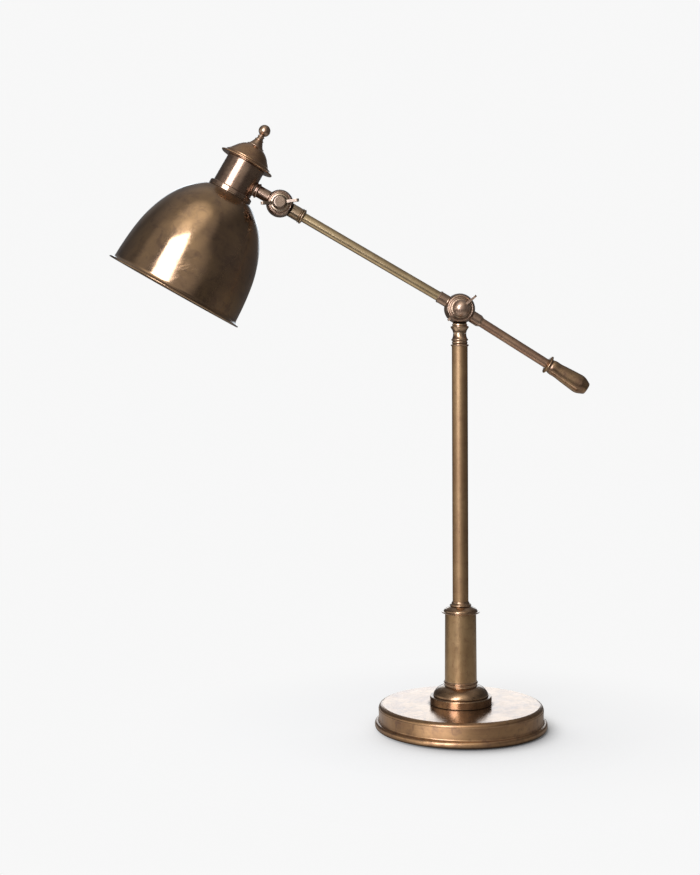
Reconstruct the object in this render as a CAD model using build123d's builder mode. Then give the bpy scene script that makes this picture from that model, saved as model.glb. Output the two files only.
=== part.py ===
from build123d import *
import os
from math import sin, cos, sqrt, radians, hypot

os.makedirs("parts", exist_ok=True)

# ---------------------------------------------------------------------------
# Counterbalanced desk lamp in aged brass.  Millimetres, +Z up, origin at the
# centre of the base underside on the post axis.  The arm lies in the XZ plane:
# the shade is towards -X, the counterweight towards +X, the wing nuts face -Y.
# ---------------------------------------------------------------------------

# base and post
BASE_R = 95.3            # widest part of the base, at its lower bead
BAND_R = 91.2            # upright band of the base
BASE_H = 26.4            # flat top of the base
FELT_R = 89.0
FELT_T = 1.2
ROD_R = 5.0              # M10 threaded pipe that ties the lamp together
ROD_BORE = 3.0
SLEEVE_R = 17.5
SLEEVE_TOP = 126.0
POST_R = 8.75
POST_WALL = 1.0
POST_BOTTOM = 136.5
POST_TOP = 422.6
SWIVEL_Z = 435.9         # bearing face between post collar and swivel cup
GAP = 0.3                # free gap between faces of pieces that move apart
CORD_Z = 15.8            # height of the cord inlet in the back of the base

# main pivot and arm
PIVOT_Z = 463.4
KNUCKLE_R = 17.0
BOLT_R = 3.0
BOLT_FIT = 0.05
LEAD_SIDE = 3.05         # the lead crosses each knuckle beside its parting face
ARM_ANGLE = 30.3         # front arm above the horizontal
REAR_ANGLE = 32.3        # rear arm below the horizontal
ARM_LENGTH = 229.3       # main pivot to head pivot
TUBE_R = 5.4
TUBE_BORE = 4.3
REAR_TUBE_R = 5.2
WING_ANGLE = 41.0

# head
HEAD_KNUCKLE_R = 15.2
HEAD_TILT = 29.5         # shade axis from the vertical
HEAD_REACH = 53.4        # head pivot to shade axis
HEAD_DROP = 141.6        # rim plane to head pivot, along the shade axis
HEAD_WING_ANGLE = 5.0
SHADE_R = 79.6
SHADE_WALL = 0.9
NECK_R = 22.2
BALL_R = 6.55            # finial ball
BALL_H = 202.7           # its centre above the rim plane

MAIN = Vector(0, 0, PIVOT_Z)
FRONT = Vector(-cos(radians(ARM_ANGLE)), 0, sin(radians(ARM_ANGLE)))
REAR = Vector(cos(radians(REAR_ANGLE)), 0, -sin(radians(REAR_ANGLE)))
HEAD = MAIN + FRONT * ARM_LENGTH
SHADE_AXIS = Vector(sin(radians(HEAD_TILT)), 0, cos(radians(HEAD_TILT)))
TO_NECK = Vector(-cos(radians(HEAD_TILT)), 0, sin(radians(HEAD_TILT)))
RIM = HEAD + TO_NECK * HEAD_REACH - SHADE_AXIS * HEAD_DROP

# profile planes: local x is the radius or the run, local y the height or the radius
SHADE_PLANE = Plane(origin=RIM, x_dir=TO_NECK * -1, z_dir=(0, -1, 0))
SHADE_LINE = Axis(RIM, SHADE_AXIS)


def run_plane(start, along):
    return Plane(origin=start, x_dir=along, z_dir=(0, -1, 0))


def bolt_plane(centre):
    return Plane(origin=centre, x_dir=(0, 1, 0), z_dir=(1, 0, 0))


def bolt_line(centre):
    return Axis(centre, (0, 1, 0))


def outline(*path):
    """Closed profile. A tuple ends a straight edge, a list is a smooth curve
    through its points, and a dict holds the middle and end of an arc."""
    start = here = path[0]
    for step in path[1:]:
        if isinstance(step, dict):
            ThreePointArc(here, step["mid"], step["end"])
            here = step["end"]
        elif isinstance(step, list):
            Spline(here, *step)
            here = step[-1]
        else:
            Line(here, step)
            here = step
    if here != start:
        Line(here, start)


def inset(points, wall):
    """The points moved by one wall thickness to the right of their direction."""
    moved = []
    for i, (x, y) in enumerate(points):
        ax, ay = points[max(i - 1, 0)]
        bx, by = points[min(i + 1, len(points) - 1)]
        run = hypot(bx - ax, by - ay)
        moved.append((x + (by - ay) / run * wall, y - (bx - ax) / run * wall))
    return moved


def save(builder, name):
    builder.part.label = name
    export_step(builder.part, f"parts/{name}.step")


# ---------------------------------------------------------------------------
# Base
# ---------------------------------------------------------------------------
with BuildPart() as base_shell:
    with BuildSketch(Plane.XZ):
        with BuildLine():
            outline(
                (89.3, 0.8), (93.7, 0.8),
                [(94.9, 2.0), (BASE_R, 4.1), (94.9, 6.3), (93.6, 7.7)],
                (92.0, 8.0), (91.0, 8.8), (90.75, 9.6), (BAND_R, 21.6), (90.8, 22.0),
                [(90.75, 23.0), (89.9, 24.5), (88.5, 25.6), (86.7, BASE_H)],
                (5.2, BASE_H), (5.2, 24.8), (86.4, 24.8),
                [(88.3, 23.8), (89.2, 22.0)],
            )
        make_face()
    revolve(axis=Axis.Z)
    with BuildSketch(Plane(origin=(0, 80, CORD_Z), z_dir=(0, 1, 0))):
        Circle(5.0)
    extrude(amount=20, mode=Mode.SUBTRACT)
save(base_shell, "base_shell")

with BuildPart() as base_weight:
    with BuildSketch(Plane.XY.offset(6)):
        Circle(86)
        Circle(5.4, mode=Mode.SUBTRACT)
    extrude(amount=18.8)
    with BuildSketch(Plane.XY.offset(6)):
        Circle(18)
    extrude(amount=13.5, mode=Mode.SUBTRACT)
    with BuildSketch(Plane.XY.offset(6)):
        with Locations((0, 50)):
            Rectangle(10, 80)
    extrude(amount=13.5, mode=Mode.SUBTRACT)
    chamfer(base_weight.edges().filter_by(GeomType.CIRCLE).sort_by(SortBy.RADIUS)[-1], length=1.2)
save(base_weight, "base_weight")

with BuildPart() as base_plate:
    with BuildSketch(Plane.XY.offset(FELT_T)):
        Circle(89.2)
    extrude(amount=1.2)
save(base_plate, "base_plate")

with BuildPart() as base_felt:
    with BuildSketch(Plane.XY):
        Circle(FELT_R)
    extrude(amount=FELT_T)
save(base_felt, "base_felt")

with BuildPart() as cord_bushing:
    with BuildSketch(Plane(origin=(0, 0, CORD_Z), x_dir=(0, 1, 0), z_dir=(1, 0, 0))):
        with BuildLine():
            outline(
                (86.6, 3.4), (93.0, 3.4), {"mid": (93.5, 4.5), "end": (92.6, 5.6)},
                (92.2, 5.9), (91.3, 5.9), (91.3, 5.0), (88.9, 5.0), (88.9, 6.0), (86.6, 6.0),
            )
        make_face()
    revolve(axis=Axis((0, 0, CORD_Z), (0, 1, 0)))
save(cord_bushing, "cord_bushing")

# ---------------------------------------------------------------------------
# Tie rod and what it clamps
# ---------------------------------------------------------------------------
with BuildPart() as tie_rod:
    with BuildSketch(Plane.XY.offset(13.0)):
        Circle(ROD_R)
        Circle(ROD_BORE, mode=Mode.SUBTRACT)
    extrude(amount=442.8 - 13.0)
save(tie_rod, "tie_rod")

with BuildPart() as base_washer:
    with BuildSketch(Plane.XY.offset(17.8)):
        Circle(14)
        Circle(5.3, mode=Mode.SUBTRACT)
    extrude(amount=1.7)
save(base_washer, "base_washer")

with BuildPart() as base_nut:
    with BuildSketch(Plane.XY.offset(13.6)):
        RegularPolygon(radius=8.1, side_count=6)
        Circle(ROD_R, mode=Mode.SUBTRACT)
    extrude(amount=4.2)
    chamfer(base_nut.edges().group_by(Axis.Z)[0].filter_by(GeomType.LINE), length=0.4)
save(base_nut, "base_nut")

with BuildPart() as foot_collar:
    with BuildSketch(Plane.XZ):
        with BuildLine():
            outline(
                (33.3, BASE_H), (34.0, 27.0), (34.1, 34.3), (33.7, 35.0), (33.0, 35.25), (30.2, 35.3),
                [(30.4, 36.6), (29.4, 39.2), (27.5, 41.8), (24.7, 44.2), (20.9, 46.1), (18.3, 46.7)],
                (18.1, 47.0), (5.2, 47.0), (5.2, 43.4), (15.0, 43.1),
                [(20.0, 42.0), (24.4, 39.3), (27.2, 36.2), (28.3, 33.4)],
                (31.6, 32.2), (31.6, BASE_H),
            )
        make_face()
    revolve(axis=Axis.Z)
save(foot_collar, "foot_collar")

with BuildPart() as sleeve_foot_ring:
    with BuildSketch(Plane.XZ):
        with BuildLine():
            outline(
                (5.2, 47.0), (18.0, 47.0), (18.05, 49.3), [(18.75, 49.8), (18.95, 50.5), (18.6, 51.2)],
                (17.95, 51.6), (17.9, 52.2), (15.5, 52.2), (15.5, 55.2), (14.0, 55.2), (14.0, 49.0), (5.2, 49.0),
            )
        make_face()
    revolve(axis=Axis.Z)
save(sleeve_foot_ring, "sleeve_foot_ring")

with BuildPart() as lower_sleeve:
    with BuildSketch(Plane.XZ):
        with BuildLine():
            outline((15.5, 52.2), (SLEEVE_R + 0.2, 52.2), (SLEEVE_R - 0.3, SLEEVE_TOP), (15.5, SLEEVE_TOP))
        make_face()
    revolve(axis=Axis.Z)
save(lower_sleeve, "lower_sleeve")

with BuildPart() as sleeve_cap:
    with BuildSketch(Plane.XZ):
        with BuildLine():
            outline(
                (15.5, 121.0), (15.5, SLEEVE_TOP), (17.3, SLEEVE_TOP),
                [(18.1, 126.2), (19.4, 126.7), (20.5, 127.2)],
                [(20.95, 127.7), (20.5, 128.25)],
                (19.0, 128.6), (18.6, 128.9),
                [(18.3, 130.1), (16.6, 131.8), (13.9, 133.3), (12.4, 134.0)],
                (12.0, 134.2), (5.2, 134.2), (5.2, 131.4), (11.0, 131.2),
                [(13.2, 130.2), (14.2, 128.4)],
                (14.2, 121.0),
            )
        make_face()
    revolve(axis=Axis.Z)
save(sleeve_cap, "sleeve_cap")

with BuildPart() as post_base_ring:
    with BuildSketch(Plane.XZ):
        with BuildLine():
            outline(
                (5.2, 134.2), (10.5, 134.2), [(11.6, 134.8), (11.85, 135.8), (11.3, 136.8)],
                (10.5, 137.2), [(9.7, 138.1), (9.45, 139.4)], (9.3, 139.8), (POST_R, 139.9),
                (POST_R, POST_BOTTOM), (5.2, POST_BOTTOM),
            )
        make_face()
    revolve(axis=Axis.Z)
save(post_base_ring, "post_base_ring")

with BuildPart() as post_tube:
    with BuildSketch(Plane.XY.offset(POST_BOTTOM)):
        Circle(POST_R)
        Circle(POST_R - POST_WALL, mode=Mode.SUBTRACT)
    extrude(amount=POST_TOP - POST_BOTTOM)
save(post_tube, "post_tube")

with BuildPart() as post_top_collar:
    with BuildSketch(Plane.XZ):
        with BuildLine():
            outline(
                (ROD_R, 414.0), (7.75, 414.0), (7.75, POST_TOP), (POST_R, POST_TOP), (POST_R, 421.8),
                (9.3, 422.0), [(9.95, 422.8), (9.95, 423.4), (9.3, 424.0)], (8.2, 424.3),
                [(8.6, 425.2), (8.6, 426.6), (8.1, 427.5)],
                (8.3, 427.9), [(9.15, 428.4), (9.35, 429.1), (8.9, 430.0)],
                [(8.1, 431.4), (7.6, 432.9), (7.35, 434.6)],
                (7.35, SWIVEL_Z), (ROD_R, SWIVEL_Z),
            )
        make_face()
    revolve(axis=Axis.Z)
save(post_top_collar, "post_top_collar")

with BuildPart() as swivel_nut:
    with BuildSketch(Plane.XY.offset(440.2)):
        Circle(6.8)
        Circle(ROD_R, mode=Mode.SUBTRACT)
    extrude(amount=2.4)
    with BuildSketch(Plane.XY.offset(441.6)):
        Rectangle(16, 1.6)
    extrude(amount=1.0, mode=Mode.SUBTRACT)
save(swivel_nut, "swivel_nut")

# supply lead inside the base and the tie rod
LEAD_BEND = 40.0
LEAD_DIP = 27.127
LEAD_Z = CORD_Z - 2 * LEAD_BEND * (1 - cos(radians(LEAD_DIP)))
with BuildPart() as post_lead:
    with BuildLine(Plane.YZ) as post_lead_path:
        in_base = Line((86.0, CORD_Z), (48.0, CORD_Z))
        dip = JernArc(start=(48.0, CORD_Z), tangent=(-1, 0), radius=LEAD_BEND, arc_size=LEAD_DIP)
        level = JernArc(
            start=(48.0 - LEAD_BEND * sin(radians(LEAD_DIP)), (CORD_Z + LEAD_Z) / 2),
            tangent=(-cos(radians(LEAD_DIP)), -sin(radians(LEAD_DIP))), radius=LEAD_BEND, arc_size=-LEAD_DIP,
        )
        under = Line((48.0 - 2 * LEAD_BEND * sin(radians(LEAD_DIP)), LEAD_Z), (6.0, LEAD_Z))
        turn = JernArc(start=(6.0, LEAD_Z), tangent=(-1, 0), radius=6, arc_size=-90)
        Line((0, LEAD_Z + 6), (0, 442.0))
    with BuildSketch(Plane(origin=(0, 86, CORD_Z), z_dir=(0, -1, 0))):
        Circle(2.4)
    sweep(path=post_lead_path.wires()[0])
save(post_lead, "post_lead")

# ---------------------------------------------------------------------------
# Swivel head on top of the post
# ---------------------------------------------------------------------------
with BuildPart() as swivel_cup:
    with BuildSketch(Plane.XZ):
        with BuildLine():
            outline(
                (5.1, SWIVEL_Z + GAP), (7.3, SWIVEL_Z + GAP),
                [(7.5, 437.7), (8.15, 439.5), (9.2, 441.3), (10.0, 442.7), (10.1, 443.5), (9.5, 444.2)],
                (8.7, 444.6), (8.45, 444.9), (8.45, 446.2),
                (7.15, 446.2), (7.15, 439.9), (5.1, 439.9),
            )
        make_face()
    revolve(axis=Axis.Z)
save(swivel_cup, "swivel_cup")

with BuildPart() as post_knuckle:
    # boss that screws into the cup, hollow for the lead
    with BuildSketch(Plane.XY.offset(443.3)):
        Circle(7.15)
    extrude(amount=2.9)
    with BuildSketch(Plane.XY.offset(446.2)):
        Circle(7.7)
    extrude(amount=4.4)
    with BuildSketch(Plane.XZ.offset(-0.15)):
        with Locations((0, PIVOT_Z)):
            Circle(KNUCKLE_R + 0.45)
    extrude(amount=20, mode=Mode.SUBTRACT)
    # rear half of the knuckle
    with BuildSketch(bolt_plane(MAIN)):
        with BuildLine():
            outline(
                (0.15, BOLT_R), (0.15, 5.2), (6.4, 5.2), (6.4, 12.2), (0.15, 12.8), (0.15, 16.6),
                [(1.3, KNUCKLE_R), (4.4, 16.7), (7.2, 15.4), (8.9, 13.6)],
                (9.6, 11.9), (9.6, BOLT_R),
            )
        make_face()
    revolve(axis=bolt_line(MAIN))
    # way for the lead: up the boss, then into this half's own cavity
    with BuildSketch(Plane.XY.offset(443.3)):
        Circle(3.2)
    extrude(amount=4.2, mode=Mode.SUBTRACT)
    with BuildSketch(Plane.XY.offset(445.0)):
        with Locations((0, LEAD_SIDE)):
            Circle(2.6)
    extrude(amount=9, mode=Mode.SUBTRACT)
save(post_knuckle, "post_knuckle")

with BuildPart() as arm_pivot_bolt:
    with BuildSketch(bolt_plane(MAIN)):
        with BuildLine():
            outline(
                (-18.5, 0), (-18.5, 2.5), (-18.0, BOLT_R), (9.6, BOLT_R), (9.6, 8.0),
                (10.1, 8.5), [(11.6, 7.6), (13.0, 4.4), (13.5, 0)],
            )
        make_face()
    revolve(axis=bolt_line(MAIN))
save(arm_pivot_bolt, "arm_pivot_bolt")

# ---------------------------------------------------------------------------
# Arm
# ---------------------------------------------------------------------------
with BuildPart() as arm_knuckle:
    # sockets for the two tubes
    with BuildSketch(run_plane(MAIN, FRONT)):
        with BuildLine():
            outline((12.5, 0), (12.5, 6.6), (24.6, 6.6), (25.0, 6.9), (26.2, 6.9), (26.6, 6.5), (27.4, 6.0), (27.4, 0))
        make_face()
    revolve(axis=Axis(MAIN, FRONT))
    with BuildSketch(run_plane(MAIN, REAR)):
        with BuildLine():
            outline((12.5, 0), (12.5, 6.8), (25.8, 6.8), (26.3, 6.4), (26.3, 5.95), (28.0, 5.8), (28.0, 0))
        make_face()
    revolve(axis=Axis(MAIN, REAR))
    with BuildSketch(Plane.XZ.offset(0.15)):
        with Locations((0, PIVOT_Z)):
            Circle(KNUCKLE_R + 0.45)
    extrude(amount=-20, mode=Mode.SUBTRACT)
    # front half of the knuckle
    with BuildSketch(bolt_plane(MAIN)):
        with BuildLine():
            outline(
                (-0.15, 5.2), (-0.15, BOLT_R + BOLT_FIT), (-8.9, BOLT_R + BOLT_FIT), (-8.9, 10.9), (-8.5, 11.3),
                (-7.9, 11.5), (-7.9, 12.4), [(-8.7, 12.9), (-9.05, 13.8), (-8.5, 14.8)],
                [(-7.2, 15.6), (-4.5, 16.6), (-1.3, KNUCKLE_R)], (-0.15, 16.6), (-0.15, 12.8), (-6.2, 12.2), (-6.2, 5.2),
            )
        make_face()
    revolve(axis=bolt_line(MAIN))
    # bores for the tubes and the lead
    with BuildSketch(run_plane(MAIN, FRONT)):
        with BuildLine():
            outline((19.0, 0), (19.0, TUBE_R), (30.0, TUBE_R), (30.0, 0))
        make_face()
    revolve(axis=Axis(MAIN, FRONT), mode=Mode.SUBTRACT)
    with BuildSketch(Plane(origin=MAIN + FRONT * 9.5 - Vector(0, LEAD_SIDE, 0), z_dir=FRONT)):
        Circle(2.6)
    extrude(amount=9.5, mode=Mode.SUBTRACT)
    with BuildSketch(run_plane(MAIN, REAR)):
        with BuildLine():
            outline((19.0, 0), (19.0, REAR_TUBE_R), (30.0, REAR_TUBE_R), (30.0, 0))
        make_face()
    revolve(axis=Axis(MAIN, REAR), mode=Mode.SUBTRACT)
save(arm_knuckle, "arm_knuckle")

FRONT_TUBE_END = ARM_LENGTH - 17.0
with BuildPart() as front_arm_tube:
    with BuildSketch(Plane(origin=MAIN + FRONT * 19.0, z_dir=FRONT)):
        Circle(TUBE_R)
        Circle(TUBE_BORE, mode=Mode.SUBTRACT)
    extrude(amount=FRONT_TUBE_END - 19.0)
save(front_arm_tube, "front_arm_tube")

with BuildPart() as rear_arm_tube:
    with BuildSketch(Plane(origin=MAIN + REAR * 19.0, z_dir=REAR)):
        Circle(REAR_TUBE_R)
        Circle(REAR_TUBE_R - 1.1, mode=Mode.SUBTRACT)
    extrude(amount=152.0 - 19.0)
save(rear_arm_tube, "rear_arm_tube")

with BuildPart() as arm_lead:
    with BuildSketch(Plane(origin=MAIN + FRONT * 20.0, z_dir=FRONT)):
        Circle(2.4)
    extrude(amount=ARM_LENGTH - 38.5)
save(arm_lead, "arm_lead")

with BuildPart() as counterweight_ring:
    with BuildSketch(run_plane(MAIN, REAR)):
        with BuildLine():
            outline(
                (114.0, REAR_TUBE_R), (114.0, 6.7), (114.6, 7.5), [(115.5, 9.8), (116.5, 10.5), (117.5, 9.9)],
                (118.1, 8.1), (119.2, 7.6), (119.2, REAR_TUBE_R),
            )
        make_face()
    revolve(axis=Axis(MAIN, REAR))
save(counterweight_ring, "counterweight_ring")

with BuildPart() as counterweight:
    with BuildSketch(run_plane(MAIN, REAR)):
        with BuildLine():
            outline(
                (119.2, REAR_TUBE_R), (119.2, 7.3),
                [(120.4, 7.85), (128.2, 8.3), (134.8, 8.84), (141.4, 9.45), (148.1, 10.05), (154.7, 10.5),
                 (157.8, 10.45), (160.9, 9.6), (164.2, 8.1), (166.6, 6.9)],
                (167.2, 6.3), (167.2, 0), (152.0, 0), (152.0, REAR_TUBE_R),
            )
        make_face()
    revolve(axis=Axis(MAIN, REAR))
save(counterweight, "counterweight")

with BuildPart() as arm_washer:
    with BuildSketch(bolt_plane(MAIN)):
        with BuildLine():
            outline(
                (-8.9, BOLT_R + 0.08), (-8.9, 10.4), (-9.3, 10.7), [(-9.9, 10.75), (-10.35, 10.3)],
                (-10.4, 9.6), (-10.4, BOLT_R + 0.08),
            )
        make_face()
    revolve(axis=bolt_line(MAIN))
save(arm_washer, "arm_washer")

# far end of the arm: rear half of the head knuckle
with BuildPart() as head_pivot_socket:
    with BuildSketch(run_plane(HEAD, FRONT * -1)):
        with BuildLine():
            outline(
                (11.0, 0), (11.0, 7.8), (24.6, 7.8), (25.0, 7.5), (25.4, 7.8), [(26.2, 8.6), (27.1, 8.0)],
                (27.4, 7.6), [(28.3, 8.7), (29.6, 8.2)], (30.2, 7.2), (30.4, 6.2), (30.4, 0),
            )
        make_face()
    revolve(axis=Axis(HEAD, FRONT * -1))
    with BuildSketch(Plane.XZ.offset(-0.15)):
        with Locations((HEAD.X, HEAD.Z)):
            Circle(HEAD_KNUCKLE_R + 0.45)
    extrude(amount=20, mode=Mode.SUBTRACT)
    with BuildSketch(bolt_plane(HEAD)):
        with BuildLine():
            outline(
                (0.15, BOLT_R), (0.15, 5.2), (5.9, 5.2), (5.9, 11.3), (0.15, 11.9), (0.15, 14.8),
                [(1.2, HEAD_KNUCKLE_R), (4.0, 14.9), (6.6, 13.7), (8.3, 11.8)],
                (8.9, 10.2), (8.9, BOLT_R),
            )
        make_face()
    revolve(axis=bolt_line(HEAD))
    with BuildSketch(run_plane(HEAD, FRONT * -1)):
        with BuildLine():
            outline((17.0, 0), (17.0, TUBE_R), (32.0, TUBE_R), (32.0, 0))
        make_face()
    revolve(axis=Axis(HEAD, FRONT * -1), mode=Mode.SUBTRACT)
    with BuildSketch(Plane(origin=HEAD - FRONT * 9.0 + Vector(0, LEAD_SIDE, 0), z_dir=FRONT * -1)):
        Circle(2.6)
    extrude(amount=8.0, mode=Mode.SUBTRACT)
save(head_pivot_socket, "head_pivot_socket")

with BuildPart() as head_pivot_bolt:
    with BuildSketch(bolt_plane(HEAD)):
        with BuildLine():
            outline(
                (-16.6, 0), (-16.6, 2.5), (-16.1, BOLT_R), (8.9, BOLT_R), (8.9, 7.4),
                (9.4, 7.9), [(10.8, 7.0), (12.1, 4.0), (12.5, 0)],
            )
        make_face()
    revolve(axis=bolt_line(HEAD))
save(head_pivot_bolt, "head_pivot_bolt")

# ---------------------------------------------------------------------------
# Wing nuts
# ---------------------------------------------------------------------------
def wing_plane(centre, angle):
    along = Vector(cos(radians(angle)), 0, sin(radians(angle)))
    # local x runs out along the wing, local y towards the front
    return Plane(origin=centre, x_dir=along, z_dir=along.cross(Vector(0, -1, 0)))


with BuildPart() as arm_wing_nut:
    with BuildSketch(wing_plane(MAIN, WING_ANGLE)):
        with BuildLine():
            outline(
                (3.5, 12.4), (9.0, 12.4), [(13.0, 12.9), (17.0, 14.4), (19.6, 16.9), (20.7, 20.0), (20.1, 22.3),
                                           (18.2, 23.0), (15.2, 21.9), (11.4, 20.1), (8.0, 18.6)],
                (3.5, 18.4),
            )
        make_face()
        with BuildLine():
            outline(
                (-3.5, 12.4), (-9.0, 12.4), [(-13.0, 12.9), (-17.0, 14.4), (-19.6, 16.9), (-20.7, 20.0), (-20.1, 22.3),
                                             (-18.2, 23.0), (-15.2, 21.9), (-11.4, 20.1), (-8.0, 18.6)],
                (-3.5, 18.4),
            )
        make_face()
    extrude(amount=1.2, both=True)
    with BuildSketch(bolt_plane(MAIN)):
        with BuildLine():
            outline(
                (-10.7, 0), (-10.7, 8.7), (-11.0, 9.2), (-11.6, 9.5),
                [(-13.6, 9.5), (-16.8, 8.2), (-19.6, 5.3), (-20.8, 2.2), (-21.0, 0)],
            )
        make_face()
    revolve(axis=bolt_line(MAIN))
    with BuildSketch(bolt_plane(MAIN)):
        with BuildLine():
            outline((-5.0, 0), (-5.0, BOLT_R + BOLT_FIT), (-18.9, BOLT_R + BOLT_FIT), (-19.2, 0))
        make_face()
    revolve(axis=bolt_line(MAIN), mode=Mode.SUBTRACT)
save(arm_wing_nut, "arm_wing_nut")

with BuildPart() as head_wing_nut:
    with BuildSketch(wing_plane(HEAD, HEAD_WING_ANGLE)):
        with BuildLine():
            outline(
                (3.5, 11.8), (8.0, 11.8), [(12.5, 12.2), (16.6, 13.4), (19.6, 15.4), (20.8, 17.7), (20.3, 19.5),
                                           (18.6, 20.1), (15.6, 19.4), (11.4, 17.8), (6.4, 16.2)],
                (3.5, 15.8),
            )
        make_face()
        with BuildLine():
            outline(
                (-3.5, 11.8), (-8.0, 11.8), [(-12.5, 12.2), (-16.6, 13.4), (-19.6, 15.4), (-20.8, 17.7), (-20.3, 19.5),
                                             (-18.6, 20.1), (-15.6, 19.4), (-11.4, 17.8), (-6.4, 16.2)],
                (-3.5, 15.8),
            )
        make_face()
    extrude(amount=1.5, both=True)
    with BuildSketch(bolt_plane(HEAD)):
        with BuildLine():
            outline(
                (-10.0, 0), (-10.0, 7.8), (-10.4, 8.2), (-11.6, 8.2), (-12.6, 7.5), (-17.4, 6.9),
                [(-18.1, 6.6), (-18.4, 6.0)], (-18.5, 5.4), (-18.5, 0),
            )
        make_face()
    revolve(axis=bolt_line(HEAD))
    with BuildSketch(bolt_plane(HEAD)):
        with BuildLine():
            outline((-5.0, 0), (-5.0, BOLT_R + BOLT_FIT), (-17.0, BOLT_R + BOLT_FIT), (-17.2, 0))
        make_face()
    revolve(axis=bolt_line(HEAD), mode=Mode.SUBTRACT)
save(head_wing_nut, "head_wing_nut")

# ---------------------------------------------------------------------------
# Head
# ---------------------------------------------------------------------------
with BuildPart() as head_knuckle:
    with BuildSketch(run_plane(HEAD, TO_NECK)):
        with BuildLine():
            outline(
                (11.0, 0), (11.0, 6.8), (26.6, 6.8), (26.6, 4.9), (38.0, 4.9), (38.5, 4.4), (38.5, 0),
            )
        make_face()
    revolve(axis=Axis(HEAD, TO_NECK))
    with BuildSketch(Plane.XZ.offset(0.15)):
        with Locations((HEAD.X, HEAD.Z)):
            Circle(HEAD_KNUCKLE_R + 0.45)
    extrude(amount=-20, mode=Mode.SUBTRACT)
    with BuildSketch(bolt_plane(HEAD)):
        with BuildLine():
            outline(
                (-0.15, 5.2), (-0.15, BOLT_R + BOLT_FIT), (-8.2, BOLT_R + BOLT_FIT), (-8.2, 10.1), (-7.8, 10.5),
                (-7.3, 10.7), (-7.3, 11.5), [(-7.8, 11.8), (-8.1, 12.2), (-7.9, 12.8)],
                [(-6.8, 13.8), (-4.2, 14.8), (-1.2, HEAD_KNUCKLE_R)], (-0.15, 14.8), (-0.15, 11.9), (-5.7, 11.3), (-5.7, 5.2),
            )
        make_face()
    revolve(axis=bolt_line(HEAD))
    with BuildSketch(run_plane(HEAD, TO_NECK)):
        with BuildLine():
            outline((16.2, 0), (16.2, 3.2), (40.0, 3.2), (40.0, 0))
        make_face()
    revolve(axis=Axis(HEAD, TO_NECK), mode=Mode.SUBTRACT)
    with BuildSketch(Plane(origin=HEAD + TO_NECK * 9.0 - Vector(0, LEAD_SIDE, 0), z_dir=TO_NECK)):
        Circle(2.6)
    extrude(amount=8.5, mode=Mode.SUBTRACT)
save(head_knuckle, "head_knuckle")

with BuildPart() as head_washer:
    with BuildSketch(bolt_plane(HEAD)):
        with BuildLine():
            outline(
                (-8.2, BOLT_R + 0.08), (-8.2, 9.7), (-8.6, 10.0), [(-9.2, 10.05), (-9.65, 9.6)],
                (-9.7, 9.0), (-9.7, BOLT_R + 0.08),
            )
        make_face()
    revolve(axis=bolt_line(HEAD))
save(head_washer, "head_washer")

with BuildPart() as stub_collar:
    with BuildSketch(run_plane(HEAD, TO_NECK)):
        with BuildLine():
            outline(
                (26.6, 4.9), (26.6, 7.4), (27.0, 8.0), [(27.9, 8.6), (28.9, 8.1)], (29.4, 7.6),
                (30.2, 7.5), (31.0, 8.0), (33.6, 8.4), (33.6, 4.9),
            )
        make_face()
    revolve(axis=Axis(HEAD, TO_NECK))
    with BuildSketch(Plane(origin=RIM + SHADE_AXIS * 120, z_dir=SHADE_AXIS)):
        Circle(22.35)
    extrude(amount=50, mode=Mode.SUBTRACT)
save(stub_collar, "stub_collar")

with BuildPart() as stub_nut:
    with BuildSketch(Plane(origin=HEAD + TO_NECK * 33.8, z_dir=TO_NECK)):
        RegularPolygon(radius=7.4, side_count=6)
        Circle(4.9, mode=Mode.SUBTRACT)
    extrude(amount=3.0)
save(stub_nut, "stub_nut")

with BuildPart() as neck_cup:
    with BuildSketch(SHADE_PLANE):
        with BuildLine():
            outline(
                (5.1, 161.6), (21.7, 161.6), (NECK_R - 0.1, 161.2), (NECK_R + 0.15, 125.0), (21.1, 125.0),
                (21.1, 160.4), (5.1, 160.4),
            )
        make_face()
    revolve(axis=SHADE_LINE)
    with BuildSketch(Plane(origin=HEAD + TO_NECK * 20, z_dir=TO_NECK)):
        Circle(4.9)
    extrude(amount=20, mode=Mode.SUBTRACT)
save(neck_cup, "neck_cup")

with BuildPart() as neck_ring:
    with BuildSketch(SHADE_PLANE):
        with BuildLine():
            outline(
                (19.7, 122.8), (24.9, 122.8), (25.3, 123.2), (25.3, 124.2), (24.95, 124.45), (25.3, 124.7),
                (25.3, 127.6), [(25.05, 128.5), (24.2, 129.1)], (23.2, 129.3), (NECK_R + 0.15, 129.4),
                (NECK_R + 0.15, 125.0), (19.7, 125.0),
            )
        make_face()
    revolve(axis=SHADE_LINE)
save(neck_ring, "neck_ring")

SHADE_CURVE = [
    (25.6, 122.7), (29.2, 120.9), (33.8, 117.5), (40.7, 111.6), (48.6, 103.0), (54.7, 94.0), (61.2, 81.0),
    (66.0, 67.9), (69.6, 54.5), (72.1, 39.3), (73.7, 24.0), (74.5, 11.0), (74.7, 5.8),
]
SHADE_INSIDE = inset(SHADE_CURVE, SHADE_WALL)
SHADE_INSIDE[0] = (24.9, 122.8 - SHADE_WALL)
SHADE_INSIDE[-1] = (74.7 - SHADE_WALL, 5.8)
with BuildPart() as shade:
    with BuildSketch(SHADE_PLANE):
        with BuildLine():
            outline(
                (20.2, 122.8), (25.0, 122.8), SHADE_CURVE,
                [(75.1, 3.9), (76.3, 2.4), (78.2, 1.7)],
                (79.0, 1.6), [(SHADE_R, 0.7), (79.1, -0.1)],
                (78.2, 0.1), [(76.2, 0.8), (74.6, 2.4), SHADE_INSIDE[-1]],
                SHADE_INSIDE[::-1][1:],
                (20.2, 122.8 - SHADE_WALL),
            )
        make_face()
    revolve(axis=SHADE_LINE)
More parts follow.
